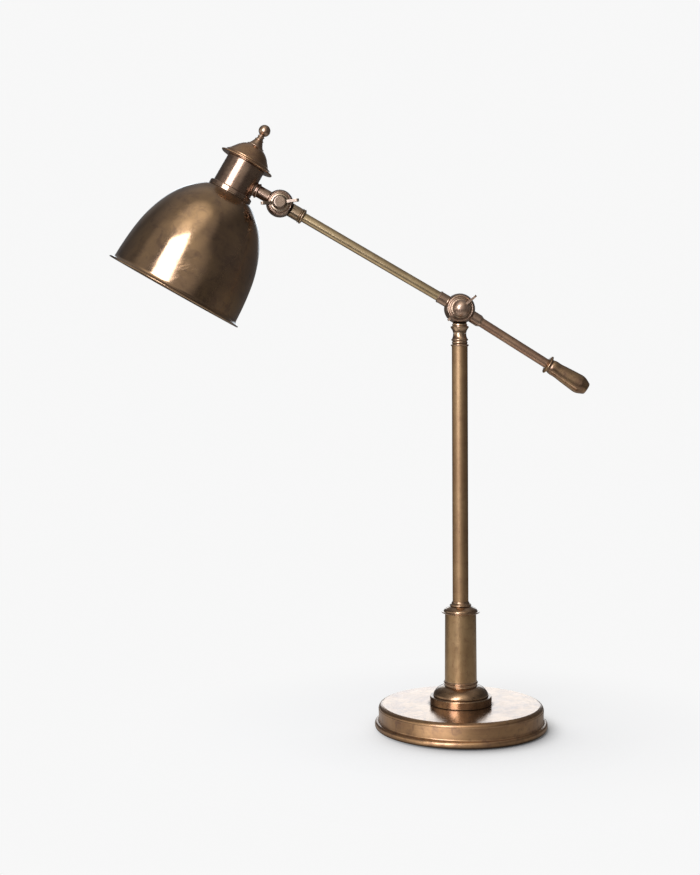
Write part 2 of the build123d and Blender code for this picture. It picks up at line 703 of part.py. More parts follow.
save(shade, "shade")

with BuildPart() as shade_ring:
    with BuildSketch(SHADE_PLANE):
        with BuildLine():
            outline((19.0, 117.0), (22.8, 117.0), (24.0, 118.2), (24.0, 121.9), (19.0, 121.9))
        make_face()
    revolve(axis=SHADE_LINE)
save(shade_ring, "shade_ring")

with BuildPart() as vent_cap:
    with BuildSketch(SHADE_PLANE):
        with BuildLine():
            outline(
                (19.4, 161.6), (29.6, 161.9), [(30.9, 162.4), (31.15, 163.1), (30.6, 163.7)],
                (28.4, 164.5), (27.2, 165.0), (27.0, 165.3), [(26.9, 166.1), (26.1, 166.9)], (25.5, 167.2),
                [(24.3, 168.5), (22.5, 170.6), (20.4, 173.3), (18.3, 175.9), (16.3, 178.0), (13.7, 180.1), (11.0, 181.7)],
                (10.4, 182.3), (5.1, 182.3), (5.1, 180.9), (9.6, 180.9),
                [(12.5, 179.2), (15.1, 176.9), (17.2, 174.4), (19.8, 171.0), (22.5, 168.1)],
                (24.4, 166.2), (24.6, 164.0), (19.4, 163.2),
            )
        make_face()
    revolve(axis=SHADE_LINE)
save(vent_cap, "vent_cap")

with BuildPart() as finial:
    with BuildSketch(SHADE_PLANE):
        with BuildLine():
            outline(
                (ROD_R, 182.3), (9.7, 182.3), [(9.85, 182.8), (9.5, 183.3)], (8.8, 183.5),
                [(7.9, 184.6), (6.9, 186.1), (5.9, 187.9), (5.1, 189.5)], (4.6, 190.0),
                {"mid": (5.1, 190.8), "end": (4.6, 191.6)}, (4.1, 191.8),
                [(3.7, 192.7), (3.4, 193.8)], (3.3, 194.2),
                {"mid": (3.95, 195.1), "end": (3.3, 196.0)}, (2.9, 196.3), (2.9, BALL_H - sqrt(BALL_R**2 - 2.9**2)),
                {"mid": (BALL_R, BALL_H), "end": (0, BALL_H + BALL_R)},
                (0, 185.2), (ROD_R, 185.2),
            )
        make_face()
    revolve(axis=SHADE_LINE)
save(finial, "finial")

with BuildPart() as cap_rod:
    with BuildSketch(Plane(origin=RIM + SHADE_AXIS * 129.0, z_dir=SHADE_AXIS)):
        Circle(ROD_R)
    extrude(amount=185.2 - 129.0)
save(cap_rod, "cap_rod")

with BuildPart() as lampholder:
    with BuildSketch(SHADE_PLANE):
        with BuildLine():
            outline(
                (0, 125.0), (13.8, 125.0), (13.8, 98.0), (18.4, 98.0), (19.0, 98.6), (19.0, 127.5),
                [(18.0, 131.6), (15.6, 133.5), (12.4, 134.0)], (ROD_R, 134.0), (ROD_R, 129.0), (0, 129.0),
            )
        make_face()
    revolve(axis=SHADE_LINE)
save(lampholder, "lampholder")

with BuildPart() as socket_shell:
    with BuildSketch(SHADE_PLANE):
        with BuildLine():
            outline((13.4, 99.5), (13.8, 99.5), (13.8, 124.6), (13.4, 124.6))
        make_face()
    revolve(axis=SHADE_LINE)
save(socket_shell, "socket_shell")

with BuildPart() as bulb_cap:
    with BuildSketch(SHADE_PLANE):
        with BuildLine():
            outline(
                (12.6, 97.0), (13.2, 97.0), (13.2, 119.0), (12.4, 121.6), (6.0, 122.8), (5.0, 123.6), (4.6, 124.6), (0, 124.6),
                (0, 122.4), (5.4, 121.8), (11.9, 120.6), (12.6, 118.8),
            )
        make_face()
    revolve(axis=SHADE_LINE)
save(bulb_cap, "bulb_cap")

BULB_CURVE = [
    (0, 17.0), (8.0, 17.9), (17.5, 21.9), (25.6, 30.2), (29.7, 40.6), (29.7, 50.4), (26.6, 60.8), (21.0, 71.4),
    (16.2, 81.8), (13.9, 90.6), (13.4, 97.0),
]
BULB_INSIDE = inset(BULB_CURVE, -0.8)
BULB_INSIDE[0] = (0, 17.8)
BULB_INSIDE[-1] = (12.6, 97.0)
with BuildPart() as bulb_glass:
    with BuildSketch(SHADE_PLANE):
        with BuildLine():
            outline(BULB_CURVE[0], BULB_CURVE[1:], BULB_INSIDE[-1], BULB_INSIDE[::-1][1:])
        make_face()
    revolve(axis=SHADE_LINE)
save(bulb_glass, "bulb_glass")

with BuildPart() as head_lead:
    with BuildLine(SHADE_PLANE) as head_lead_path:
        through = Line((HEAD_REACH - 18.0, HEAD_DROP), (14.0, HEAD_DROP))
        drop = JernArc(start=(14.0, HEAD_DROP), tangent=(-1, 0), radius=5, arc_size=90)
        Line((9.0, HEAD_DROP - 5), (9.0, 134.0))
    with BuildSketch(Plane(origin=HEAD + TO_NECK * 18.0, z_dir=TO_NECK)):
        Circle(2.4)
    sweep(path=head_lead_path.wires()[0])
save(head_lead, "head_lead")
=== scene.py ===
import math

import bpy
from mathutils import Matrix, Vector

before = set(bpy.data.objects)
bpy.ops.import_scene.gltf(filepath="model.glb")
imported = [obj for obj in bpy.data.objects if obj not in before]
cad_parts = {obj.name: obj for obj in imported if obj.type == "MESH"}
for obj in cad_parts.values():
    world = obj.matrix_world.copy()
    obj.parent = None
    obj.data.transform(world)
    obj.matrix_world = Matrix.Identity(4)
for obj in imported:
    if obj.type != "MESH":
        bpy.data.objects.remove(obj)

scene = bpy.context.scene
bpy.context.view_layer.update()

# ---------------------------------------------------------------------------
# Places and directions, in metres, as in the CAD
# ---------------------------------------------------------------------------
rad = math.radians
MAIN = Vector((0, 0, 0.4634))
FRONT = Vector((-math.cos(rad(30.3)), 0, math.sin(rad(30.3))))
REAR = Vector((math.cos(rad(32.3)), 0, -math.sin(rad(32.3))))
HEAD = MAIN + FRONT * 0.2293
SHADE_AXIS = Vector((math.sin(rad(29.5)), 0, math.cos(rad(29.5))))
TO_NECK = Vector((-math.cos(rad(29.5)), 0, math.sin(rad(29.5))))
RIM = HEAD + TO_NECK * 0.0534 - SHADE_AXIS * 0.1416
UP = Vector((0, 0, 1))
ACROSS = Vector((0, -1, 0))


def axes(origin, along):
    """Origin and Euler angles of a local frame whose Z runs along a piece."""
    z = along.normalized()
    x = Vector((0, 1, 0)).cross(z)
    if x.length < 0.1:
        x = Vector((1, 0, 0))
    x.normalize()
    y = z.cross(x)
    return origin, Matrix((x, y, z)).transposed().to_euler()


STAND = axes(Vector((0, 0, 0)), UP)
PIVOT = axes(MAIN, ACROSS)
FRONT_ARM = axes(MAIN, FRONT)
REAR_ARM = axes(MAIN, REAR)
HEAD_PIVOT = axes(HEAD, ACROSS)
STUB = axes(HEAD, TO_NECK)
SHADE = axes(RIM, SHADE_AXIS)


# ---------------------------------------------------------------------------
# A small way of writing node trees
# ---------------------------------------------------------------------------
class Tree:
    def __init__(self, tree):
        self.tree = tree
        tree.nodes.clear()

    def put(self, kind, settings=None, **inputs):
        node = self.tree.nodes.new(kind)
        for key, value in (settings or {}).items():
            setattr(node, key, value)
        for key, value in inputs.items():
            self.feed(node, key, value)
        return node

    def feed(self, node, key, value):
        if isinstance(key, str) and key[0] == "_" and key[1:].isdigit():
            socket = node.inputs[int(key[1:])]
        else:
            socket = node.inputs[key.replace("_", " ") if isinstance(key, str) else key]
        if isinstance(value, bpy.types.NodeSocket):
            self.tree.links.new(value, socket)
        else:
            socket.default_value = value

    def maths(self, operation, a, b=0.0, c=0.0, clamp=False):
        node = self.put("ShaderNodeMath", {"operation": operation, "use_clamp": clamp}, _0=a, _1=b)
        if operation in ("MULTIPLY_ADD", "WRAP", "COMPARE", "SMOOTH_MIN", "SMOOTH_MAX"):
            self.feed(node, "_2", c)
        return node.outputs[0]

    def span(self, value, low, high, to_low=0.0, to_high=1.0, smooth=True):
        node = self.put(
            "ShaderNodeMapRange", {"interpolation_type": "SMOOTHSTEP" if smooth else "LINEAR"},
            _0=value, _1=low, _2=high, _3=to_low, _4=to_high,
        )
        return node.outputs[0]

    def mix(self, factor, a, b, blend="MIX"):
        node = self.put("ShaderNodeMix", {"data_type": "RGBA", "blend_type": blend})
        self.feed(node, "_0", factor)
        self.feed(node, "_6", a if isinstance(a, bpy.types.NodeSocket) else (*a, 1))
        self.feed(node, "_7", b if isinstance(b, bpy.types.NodeSocket) else (*b, 1))
        return node.outputs[2]

    def noise(self, where, scale, detail=3.0, rough=0.55, distort=0.0, seed=0.0):
        node = self.put("ShaderNodeTexNoise", {"noise_dimensions": "4D"})
        self.feed(node, "Vector", where)
        self.feed(node, "W", seed)
        self.feed(node, "Scale", scale)
        self.feed(node, "Detail", detail)
        self.feed(node, "Roughness", rough)
        self.feed(node, "Distortion", distort)
        return node.outputs["Fac"]

    def local(self, place):
        """Coordinates in millimetres in a piece's own frame."""
        origin, angles = place
        coords = self.put("ShaderNodeTexCoord").outputs["Object"]
        node = self.put("ShaderNodeMapping", {"vector_type": "TEXTURE"})
        self.feed(node, "Vector", coords)
        self.feed(node, "Location", origin)
        self.feed(node, "Rotation", angles)
        self.feed(node, "Scale", (0.001, 0.001, 0.001))
        return node.outputs[0]


GOLD = (0.56, 0.385, 0.205)
OLIVE = (0.37, 0.275, 0.155)
UMBER = (0.27, 0.175, 0.115)
ROSE = (0.43, 0.275, 0.195)
DARK = (0.055, 0.038, 0.028)
WORN = (0.78, 0.60, 0.39)


def brass(
    name, place, marks="spun", light=GOLD, mid=OLIVE, deep=UMBER, rough=0.26, cloud=0.10, lengthen=0.02,
    grain=1.6, grain_bump=0.16, dent=0.25, blotch=0.035, shift=0.0, wear=0.5, coat=0.5, coat_rough=0.09, coat_ior=1.6,
    seed=1.0, crevice=0.6, crevice_reach=0.003, edge=0.0006, streak_tone=0.25, speck=0.14, hazy=None,
    painted_shade_at_top=None, duller=None, dull_and_shaded_side=None, crown=None,
):
    """Aged brass: drawn or spun marks, clouds of patina, seams darkened by patina and painted shade, bright worn
    edges, and optional painted shade at the top or on one side.
    """
    material = bpy.data.materials.new(name)
    material.use_nodes = True
    t = Tree(material.node_tree)
    where = t.local(place)
    parts = t.put("ShaderNodeSeparateXYZ", _0=where)
    x, y, z = parts.outputs
    if marks == "drawn":
        lined = t.put("ShaderNodeVectorMath", {"operation": "MULTIPLY"}, _0=where, _1=(1.0, 1.0, lengthen)).outputs[0]
    else:
        radius = t.maths("SQRT", t.maths("ADD", t.maths("MULTIPLY", x, x), t.maths("MULTIPLY", y, y)))
        turn = t.maths("ARCTAN2", y, x)
        # the sine and cosine of the angle keep the rings closed, without a seam
        ring_x = t.maths("MULTIPLY", t.maths("COSINE", turn), t.maths("MULTIPLY_ADD", radius, lengthen, 0.6))
        ring_y = t.maths("MULTIPLY", t.maths("SINE", turn), t.maths("MULTIPLY_ADD", radius, lengthen, 0.6))
        profile = t.maths("ADD", radius, t.maths("MULTIPLY", z, 1.13))
        lined = t.put("ShaderNodeCombineXYZ", _0=ring_x, _1=ring_y, _2=profile).outputs[0]
    lines = t.noise(lined, grain, 5.0, 0.62, 0.0, seed)
    lines_wide = t.noise(lined, grain * 0.22, 3.0, 0.55, 0.0, seed + 3.1)
    cloud_big = t.noise(where, blotch, 4.0, 0.6, 0.6, seed + 7.7)
    cloud_mid = t.noise(where, blotch * 4.3, 5.0, 0.62, 0.9, seed + 11.3)
    specks = t.noise(where, 1.9, 4.0, 0.65, 0.3, seed + 17.9)
    smears = t.noise(where, blotch * 1.7, 6.0, 0.68, 1.8, seed + 23.4)

    tone = t.span(cloud_big, 0.36 + shift, 0.64 + shift)
    colour = t.mix(tone, light, mid)
    colour = t.mix(t.span(cloud_mid, 0.47, 0.72, 0.0, 0.75), colour, deep)
    colour = t.mix(t.span(lines_wide, 0.40, 0.68, 0.0, streak_tone), colour, light)
    colour = t.mix(t.span(lines, 0.55, 0.80, 0.0, streak_tone), colour, deep)
    colour = t.mix(t.span(specks, 0.60, 0.80, 0.0, speck), colour, DARK)

    # painted shade: towards the top of the piece (under the neck ring on the shade) the colour is darkened towards
    # dark brown
    if painted_shade_at_top:
        low, high, amount = painted_shade_at_top
        colour = t.mix(t.span(z, low, high, 0.0, amount), colour, DARK)
    # painted shade: the side of the piece away from the light (local +x) is darkened towards dark brown, and made
    # rougher further down
    if dull_and_shaded_side:
        low, high, amount, side_painted_shade = dull_and_shaded_side
        colour = t.mix(t.span(x, low - 10.0, high, 0.0, side_painted_shade), colour, DARK)
    # dark patina and painted shade: ambient occlusion darkens crevices, recesses and the gaps between parts towards
    # dark brown
    occlusion = t.put("ShaderNodeAmbientOcclusion", {"samples": 16, "only_local": False})
    occlusion.inputs["Distance"].default_value = crevice_reach
    crevice_patina_and_shade = t.span(occlusion.outputs["AO"], 0.35, 0.86, crevice, 0.0)
    crevice_patina_and_shade = t.maths("MULTIPLY", crevice_patina_and_shade, t.span(specks, 0.2, 0.6, 0.75, 1.1), clamp=True)
    colour = t.mix(crevice_patina_and_shade, colour, DARK)
    if wear:
        bevel = t.put("ShaderNodeBevel", {"samples": 12})
        bevel.inputs["Radius"].default_value = edge
        facing = t.put("ShaderNodeVectorMath", {"operation": "DOT_PRODUCT"})
        t.feed(facing, "_0", bevel.outputs[0])
        t.feed(facing, "_1", t.put("ShaderNodeNewGeometry").outputs["Normal"])
        rubbed = t.span(facing.outputs["Value"], 0.995, 0.93, 0.0, 1.0)
        rubbed = t.maths("MULTIPLY", rubbed, t.span(cloud_mid, 0.30, 0.62, wear, wear * 0.35))
        rubbed = t.maths("MULTIPLY", rubbed, t.maths("SUBTRACT", 1.0, crevice_patina_and_shade), clamp=True)
        colour = t.mix(rubbed, colour, WORN)

    roughness = t.maths("MULTIPLY_ADD", t.maths("SUBTRACT", smears, 0.5), cloud * 2.6, rough)
    roughness = t.maths("MULTIPLY_ADD", t.maths("SUBTRACT", lines, 0.5), 0.10, roughness)
    roughness = t.maths("MULTIPLY_ADD", t.maths("SUBTRACT", specks, 0.5), 0.06, roughness)
    roughness = t.maths("MULTIPLY_ADD", crevice_patina_and_shade, 0.3, roughness, clamp=True)
    if hazy:
        # a place where rubbing has left the lacquer cloudy: swirled patches that catch more light
        middle, reach, strength = hazy
        away = t.put("ShaderNodeVectorMath", {"operation": "DISTANCE"}, _0=where, _1=middle).outputs["Value"]
        turned = t.put("ShaderNodeMapping", {"vector_type": "POINT"}, _0=where, Rotation=(0.0, rad(50.0), 0.0)).outputs[0]
        wiped = t.put("ShaderNodeVectorMath", {"operation": "MULTIPLY"}, _0=turned, _1=(0.38, 1.0, 1.1)).outputs[0]
        swirls = t.noise(wiped, 0.10, 4.0, 0.55, 1.6, seed + 41.0)
        haze = t.maths("MULTIPLY", t.span(away, reach, reach * 0.2), t.span(swirls, 0.42, 0.72, 0.0, strength))
        roughness = t.maths("ADD", roughness, haze, clamp=True)
    if painted_shade_at_top:
        low, high, amount = painted_shade_at_top
        roughness = t.maths("ADD", roughness, t.span(z, low - 3.0, high, 0.0, 0.34), clamp=True)
    if dull_and_shaded_side:
        low, high, amount, side_painted_shade = dull_and_shaded_side
        roughness = t.maths("ADD", roughness, t.span(x, low, high, 0.0, amount), clamp=True)
    if duller:
        low, high, amount = duller
        roughness = t.maths("ADD", roughness, t.span(z, low, high, amount, 0.0), clamp=True)

    fine = t.put("ShaderNodeBump")
    fine.inputs["Strength"].default_value = grain_bump
    fine.inputs["Distance"].default_value = 0.00002
    t.feed(fine, "Height", t.maths("MULTIPLY_ADD", specks, 0.35, lines))
    wide = t.put("ShaderNodeBump")
    wide.inputs["Strength"].default_value = dent
    wide.inputs["Distance"].default_value = 0.0004
    t.feed(wide, "Height", t.noise(where, blotch * 1.2, 2.0, 0.45, 0.4, seed + 31.0))
    t.feed(wide, "Normal", fine.outputs[0])

    if crown:
        # turned faces are never quite flat: they fall away a little towards the rim
        reach, curve = crown
        inner = t.maths("MINIMUM", radius, reach)
        wide = t.put("ShaderNodeBump", Height=t.maths("MULTIPLY", t.maths("MULTIPLY", inner, inner), -0.5 / curve), Normal=wide.outputs[0])
        wide.inputs["Strength"].default_value = 1.0
        wide.inputs["Distance"].default_value = 0.001

    shader = t.put("ShaderNodeBsdfPrincipled")
    t.feed(shader, "Base Color", colour)
    shader.inputs["Metallic"].default_value = 1.0
    t.feed(shader, "Roughness", roughness)
    t.feed(shader, "Normal", wide.outputs[0])
    t.feed(shader, "Coat Weight", t.maths("MULTIPLY", t.maths("SUBTRACT", 1.0, crevice_patina_and_shade, clamp=True), coat))
    shader.inputs["Coat Roughness"].default_value = coat_rough
    shader.inputs["Coat IOR"].default_value = coat_ior
    out = t.put("ShaderNodeOutputMaterial")
    t.feed(out, "Surface", shader.outputs[0])
    return material


def plain(name, place, colour, second, rough, metallic=0.0, grain=0.6, blotch=0.06, bump=0.3, bump_depth=0.00005, seed=1.0, **extra):
    """A mottled, slightly uneven surface for steel, iron, plastic, rubber and felt."""
    material = bpy.data.materials.new(name)
    material.use_nodes = True
    t = Tree(material.node_tree)
    where = t.local(place)
    wide = t.noise(where, blotch, 4.0, 0.6, 0.5, seed)
    fine = t.noise(where, grain, 5.0, 0.65, 0.0, seed + 5.0)
    tone = t.maths("MULTIPLY_ADD", fine, 0.4, t.maths("MULTIPLY", wide, 0.6))
    colour_out = t.mix(t.span(tone, 0.35, 0.65), colour, second)
    shader = t.put("ShaderNodeBsdfPrincipled")
    t.feed(shader, "Base Color", colour_out)
    shader.inputs["Metallic"].default_value = metallic
    t.feed(shader, "Roughness", t.maths("MULTIPLY_ADD", t.maths("SUBTRACT", fine, 0.5), 0.2, rough, clamp=True))
    for key, value in extra.items():
        shader.inputs[key.replace("_", " ")].default_value = value
    lumps = t.put("ShaderNodeBump")
    lumps.inputs["Strength"].default_value = bump
    lumps.inputs["Distance"].default_value = bump_depth
    t.feed(lumps, "Height", fine)
    t.feed(shader, "Normal", lumps.outputs[0])
    out = t.put("ShaderNodeOutputMaterial")
    t.feed(out, "Surface", shader.outputs[0])
    return material


def wear_on(names, material):
    for name in names:
        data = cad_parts[name].data
        if not data.materials:
            data.materials.append(material)
        for i in range(len(data.materials)):
            data.materials[i] = material


# ---------------------------------------------------------------------------
# Finishes, piece by piece
# ---------------------------------------------------------------------------
wear_on(["base_shell"], brass(
    "aged_brass_base", STAND, "spun", light=(0.53, 0.305, 0.145), mid=(0.38, 0.205, 0.10), deep=(0.22, 0.115, 0.07), rough=0.23, cloud=0.07,
    grain=0.9, lengthen=0.012, grain_bump=0.12, dent=0.05, blotch=0.024, seed=2.0, coat=0.5, coat_rough=0.16, coat_ior=1.6, edge=0.0009,
    wear=0.30, crevice=0.8, crevice_reach=0.008, streak_tone=0.35, speck=0.10, duller=(23.5, 26.0, 0.12)))
wear_on(["foot_collar"], brass(
    "aged_brass_foot", STAND, "spun", light=(0.44, 0.27, 0.145), mid=(0.29, 0.17, 0.095), deep=(0.18, 0.105, 0.065), rough=0.27, cloud=0.05,
    grain=1.6, grain_bump=0.10, dent=0.05, blotch=0.05, seed=4.0, coat=0.4, coat_rough=0.09, wear=0.5, crevice=0.75))
wear_on(["sleeve_foot_ring"], brass(
    "aged_brass_foot_ring", STAND, "spun", light=(0.50, 0.30, 0.17), mid=(0.36, 0.21, 0.12), deep=UMBER, rough=0.22, cloud=0.06, seed=5.0,
    wear=0.6))
wear_on(["lower_sleeve"], brass(
    "aged_brass_sleeve", STAND, "drawn", light=(0.49, 0.315, 0.160), mid=(0.39, 0.235, 0.112), deep=(0.275, 0.15, 0.076), rough=0.36, cloud=0.10,
    grain=1.3, lengthen=0.03, grain_bump=0.30, dent=0.12, blotch=0.035, seed=6.0, coat=0.3, coat_rough=0.22, streak_tone=0.4))
wear_on(["sleeve_cap", "post_base_ring"], brass(
    "aged_brass_sleeve_cap", STAND, "spun", light=(0.48, 0.31, 0.18), mid=(0.36, 0.215, 0.12), deep=(0.24, 0.14, 0.085), rough=0.26, cloud=0.07,
    seed=8.0, wear=0.55, blotch=0.06))
wear_on(["post_tube"], brass(
    "aged_brass_post", STAND, "drawn", light=(0.40, 0.25, 0.127), mid=(0.335, 0.198, 0.101), deep=(0.255, 0.142, 0.08), rough=0.50, cloud=0.08,
    grain=1.5, lengthen=0.025, grain_bump=0.15, dent=0.10, blotch=0.03, seed=9.0, coat=0.12, coat_rough=0.30, streak_tone=0.45))
wear_on(["post_top_collar", "swivel_cup"], brass(
    "aged_brass_collar", STAND, "spun", light=(0.56, 0.37, 0.22), mid=(0.43, 0.265, 0.165), deep=UMBER, rough=0.24, cloud=0.06, seed=12.0,
    wear=0.7, blotch=0.07))
wear_on(["post_knuckle"], brass(
    "aged_brass_pivot_back", PIVOT, "spun", light=(0.44, 0.29, 0.19), mid=(0.36, 0.225, 0.16), deep=(0.23, 0.14, 0.10), rough=0.28, cloud=0.08,
    seed=13.0, blotch=0.07, wear=0.6))
wear_on(["arm_knuckle"], brass(
    "aged_brass_pivot_front", PIVOT, "spun", light=(0.47, 0.315, 0.215), mid=(0.39, 0.25, 0.175), deep=(0.25, 0.15, 0.105), rough=0.30, cloud=0.07,
    seed=14.0, blotch=0.08, wear=0.45, grain_bump=0.03, streak_tone=0.12, speck=0.04, crevice=0.5, crown=(16.4, 44.0)))
wear_on(["arm_wing_nut", "arm_pivot_bolt"], brass(
    "aged_brass_wing", PIVOT, "spun", light=(0.56, 0.38, 0.27), mid=(0.48, 0.315, 0.225), deep=(0.33, 0.205, 0.15), rough=0.38, cloud=0.06, seed=15.0,
    blotch=0.09, wear=0.4, grain_bump=0.03, streak_tone=0.12, speck=0.04, crevice=0.5))
wear_on(["arm_washer"], brass(
    "bright_brass_washer", PIVOT, "spun", light=(0.60, 0.44, 0.30), mid=(0.48, 0.33, 0.22), deep=ROSE, rough=0.30, cloud=0.05, seed=16.0,
    blotch=0.09, wear=0.5, grain_bump=0.03, streak_tone=0.12, speck=0.04, crevice=0.5, crown=(16.4, 44.0)))
wear_on(["front_arm_tube"], brass(
    "aged_brass_front_arm", FRONT_ARM, "drawn", light=(0.62, 0.46, 0.26), mid=(0.50, 0.36, 0.20), deep=(0.36, 0.24, 0.135), rough=0.30, cloud=0.08,
    grain=1.8, lengthen=0.02, grain_bump=0.12, dent=0.05, blotch=0.04, seed=18.0, coat=0.3, coat_rough=0.15, streak_tone=0.45))
wear_on(["rear_arm_tube"], brass(
    "aged_brass_rear_arm", REAR_ARM, "drawn", light=(0.50, 0.31, 0.20), mid=(0.41, 0.24, 0.16), deep=(0.28, 0.16, 0.11), rough=0.36, cloud=0.08,
    grain=1.8, lengthen=0.02, grain_bump=0.15, dent=0.06, blotch=0.04, seed=20.0, coat=0.2, coat_rough=0.25, streak_tone=0.5))
wear_on(["counterweight", "counterweight_ring"], brass(
    "aged_brass_counterweight", REAR_ARM, "drawn", light=(0.46, 0.29, 0.15), mid=(0.32, 0.19, 0.115), deep=(0.20, 0.11, 0.075), rough=0.30,
    cloud=0.08, grain=1.3, lengthen=0.03, grain_bump=0.15, dent=0.10, blotch=0.05, seed=22.0, coat=0.3, coat_rough=0.15, streak_tone=0.5,
    wear=0.6))
wear_on(["head_pivot_socket"], brass(
    "aged_brass_head_socket", HEAD_PIVOT, "spun", light=(0.50, 0.37, 0.23), mid=(0.39, 0.265, 0.165), deep=(0.26, 0.16, 0.11), rough=0.25,
    cloud=0.07, seed=24.0, blotch=0.07, wear=0.7, grain_bump=0.05, streak_tone=0.15, speck=0.06))
wear_on(["head_knuckle", "stub_collar"], brass(
    "aged_brass_head_knuckle", HEAD_PIVOT, "spun", light=(0.40, 0.27, 0.19), mid=(0.33, 0.21, 0.15), deep=(0.23, 0.14, 0.10), rough=0.28,
    cloud=0.07, seed=26.0, blotch=0.08, wear=0.4, grain_bump=0.03, streak_tone=0.12, speck=0.04, crevice=0.5, crown=(14.6, 40.0)))
wear_on(["head_washer"], brass(
    "bright_brass_head_washer", HEAD_PIVOT, "spun", light=(0.54, 0.42, 0.30), mid=(0.45, 0.33, 0.22), deep=ROSE, rough=0.27, cloud=0.05, seed=27.0,
    blotch=0.09, wear=0.5, grain_bump=0.03, streak_tone=0.12, speck=0.04, crevice=0.5, crown=(14.6, 40.0)))
wear_on(["head_wing_nut", "head_pivot_bolt"], brass(
    "aged_brass_head_wing", HEAD_PIVOT, "spun", light=(0.25, 0.175, 0.12), mid=(0.205, 0.143, 0.10), deep=(0.165, 0.107, 0.075), rough=0.36, cloud=0.06,
    seed=28.0, blotch=0.1, wear=0.4, grain_bump=0.03, streak_tone=0.12, speck=0.04, crevice=0.5))
wear_on(["neck_cup"], brass(
    "aged_brass_neck", SHADE, "spun", light=(0.44, 0.295, 0.20), mid=(0.34, 0.215, 0.15), deep=(0.21, 0.125, 0.095), rough=0.215, cloud=0.08,
    seed=30.0, blotch=0.05, grain=1.2, grain_bump=0.03, dent=0.07, coat=0.5, coat_rough=0.06, coat_ior=1.5, wear=0.4, shift=-0.03))
wear_on(["neck_ring"], brass(
    "aged_brass_neck_ring", SHADE, "spun", light=(0.44, 0.30, 0.21), mid=(0.37, 0.235, 0.165), deep=(0.24, 0.145, 0.105), rough=0.18, cloud=0.05,
    seed=31.0, blotch=0.05, wear=0.6, coat=0.5, coat_rough=0.06, coat_ior=1.5, grain_bump=0.04, streak_tone=0.12, speck=0.05))
wear_on(["shade"], brass(
    "aged_brass_shade", SHADE, "spun", light=(0.47, 0.287, 0.145), mid=(0.35, 0.212, 0.120), deep=(0.215, 0.125, 0.080), rough=0.14, cloud=0.08,
    seed=33.0, blotch=0.016, grain=0.8, lengthen=0.02, grain_bump=0.10, dent=0.25, coat=0.62, coat_rough=0.14, coat_ior=1.6, wear=0.5,
    edge=0.0007, streak_tone=0.28, speck=0.24, crevice_reach=0.009, crevice=0.85, hazy=(Vector((8.0, -73.0, 28.0)), 36.0, 0.24),
    painted_shade_at_top=(112.0, 121.0, 0.45), dull_and_shaded_side=(28.0, 54.0, 0.25, 0.24)))
wear_on(["vent_cap"], brass(
    "aged_brass_vent_cap", SHADE, "spun", light=(0.54, 0.32, 0.17), mid=(0.42, 0.235, 0.13), deep=(0.29, 0.16, 0.10), rough=0.27, cloud=0.07,
    seed=35.0, blotch=0.06, grain=1.4, grain_bump=0.06, coat=0.4, coat_rough=0.12, wear=0.5, speck=0.08, streak_tone=0.3))
wear_on(["finial"], brass(
    "aged_brass_finial", SHADE, "spun", light=(0.50, 0.33, 0.22), mid=(0.39, 0.25, 0.16), deep=(0.26, 0.16, 0.11), rough=0.30, cloud=0.05,
    seed=37.0, blotch=0.08, wear=0.6, grain_bump=0.04, streak_tone=0.12, speck=0.06))
wear_on(["tie_rod", "base_washer", "base_nut", "swivel_nut", "cap_rod", "stub_nut", "base_plate"], plain(
    "zinc_steel", STAND, (0.50, 0.49, 0.46), (0.34, 0.33, 0.31), 0.36, metallic=1.0, seed=41.0))
wear_on(["base_weight"], plain("cast_iron_weight", STAND, (0.030, 0.030, 0.032), (0.060, 0.055, 0.05), 0.72, metallic=0.6, grain=0.35, bump=0.8,
                               bump_depth=0.0004, seed=42.0))
wear_on(["base_felt"], plain("felt_under", STAND, (0.012, 0.017, 0.014), (0.030, 0.040, 0.034), 0.95, grain=1.4, bump=0.9, bump_depth=0.0003, seed=43.0,
                             Sheen_Weight=0.5, Sheen_Roughness=0.6))
wear_on(["cord_bushing", "lampholder", "shade_ring"], plain("moulded_black", STAND, (0.012, 0.011, 0.010), (0.022, 0.020, 0.018), 0.42, grain=1.0,
                                                            bump=0.25, seed=44.0))
wear_on(["socket_shell"], plain("bright_brass_shell", SHADE, (0.80, 0.62, 0.34), (0.66, 0.48, 0.25), 0.25, metallic=1.0, seed=45.0))
wear_on(["bulb_cap"], plain("bulb_cap_metal", SHADE, (0.80, 0.80, 0.79), (0.62, 0.61, 0.59), 0.30, metallic=1.0, seed=46.0))
wear_on(["bulb_glass"], plain("bulb_glass_frosted", SHADE, (0.86, 0.85, 0.81), (0.92, 0.91, 0.88), 0.30, grain=0.8, bump=0.05, seed=47.0,
                              Transmission_Weight=0.35, Subsurface_Weight=0.15, Subsurface_Scale=0.004))
wear_on(["post_lead", "arm_lead", "head_lead"], plain("lead_cloth", STAND, (0.24, 0.17, 0.09), (0.34, 0.25, 0.14), 0.7, grain=2.0, bump=0.7,
                                                      bump_depth=0.0002, seed=48.0))

# ---------------------------------------------------------------------------
# Floor and surroundings
# ---------------------------------------------------------------------------
PALE = 0.935
FLOOR_LIGHT = 0.76

floor_mesh = bpy.data.meshes.new("floor")
rings = [0.0] + [0.05 * 1.09 ** i for i in range(56)]
spokes = 96
verts = [(0, 0, 0)]
faces = []
for ring in rings[1:]:
    verts += [(ring * math.cos(2 * math.pi * s / spokes), ring * math.sin(2 * math.pi * s / spokes), 0) for s in range(spokes)]
for s in range(spokes):
    faces.append((0, 1 + s, 1 + (s + 1) % spokes))
for r in range(len(rings) - 2):
    for s in range(spokes):
        a = 1 + r * spokes + s
        b = 1 + r * spokes + (s + 1) % spokes
        faces.append((a, a + spokes, b + spokes, b))
floor_mesh.from_pydata(verts, [], faces)
floor_mesh.update()
floor = bpy.data.objects.new("floor", floor_mesh)
scene.collection.objects.link(floor)
floor.location.z = -0.0002

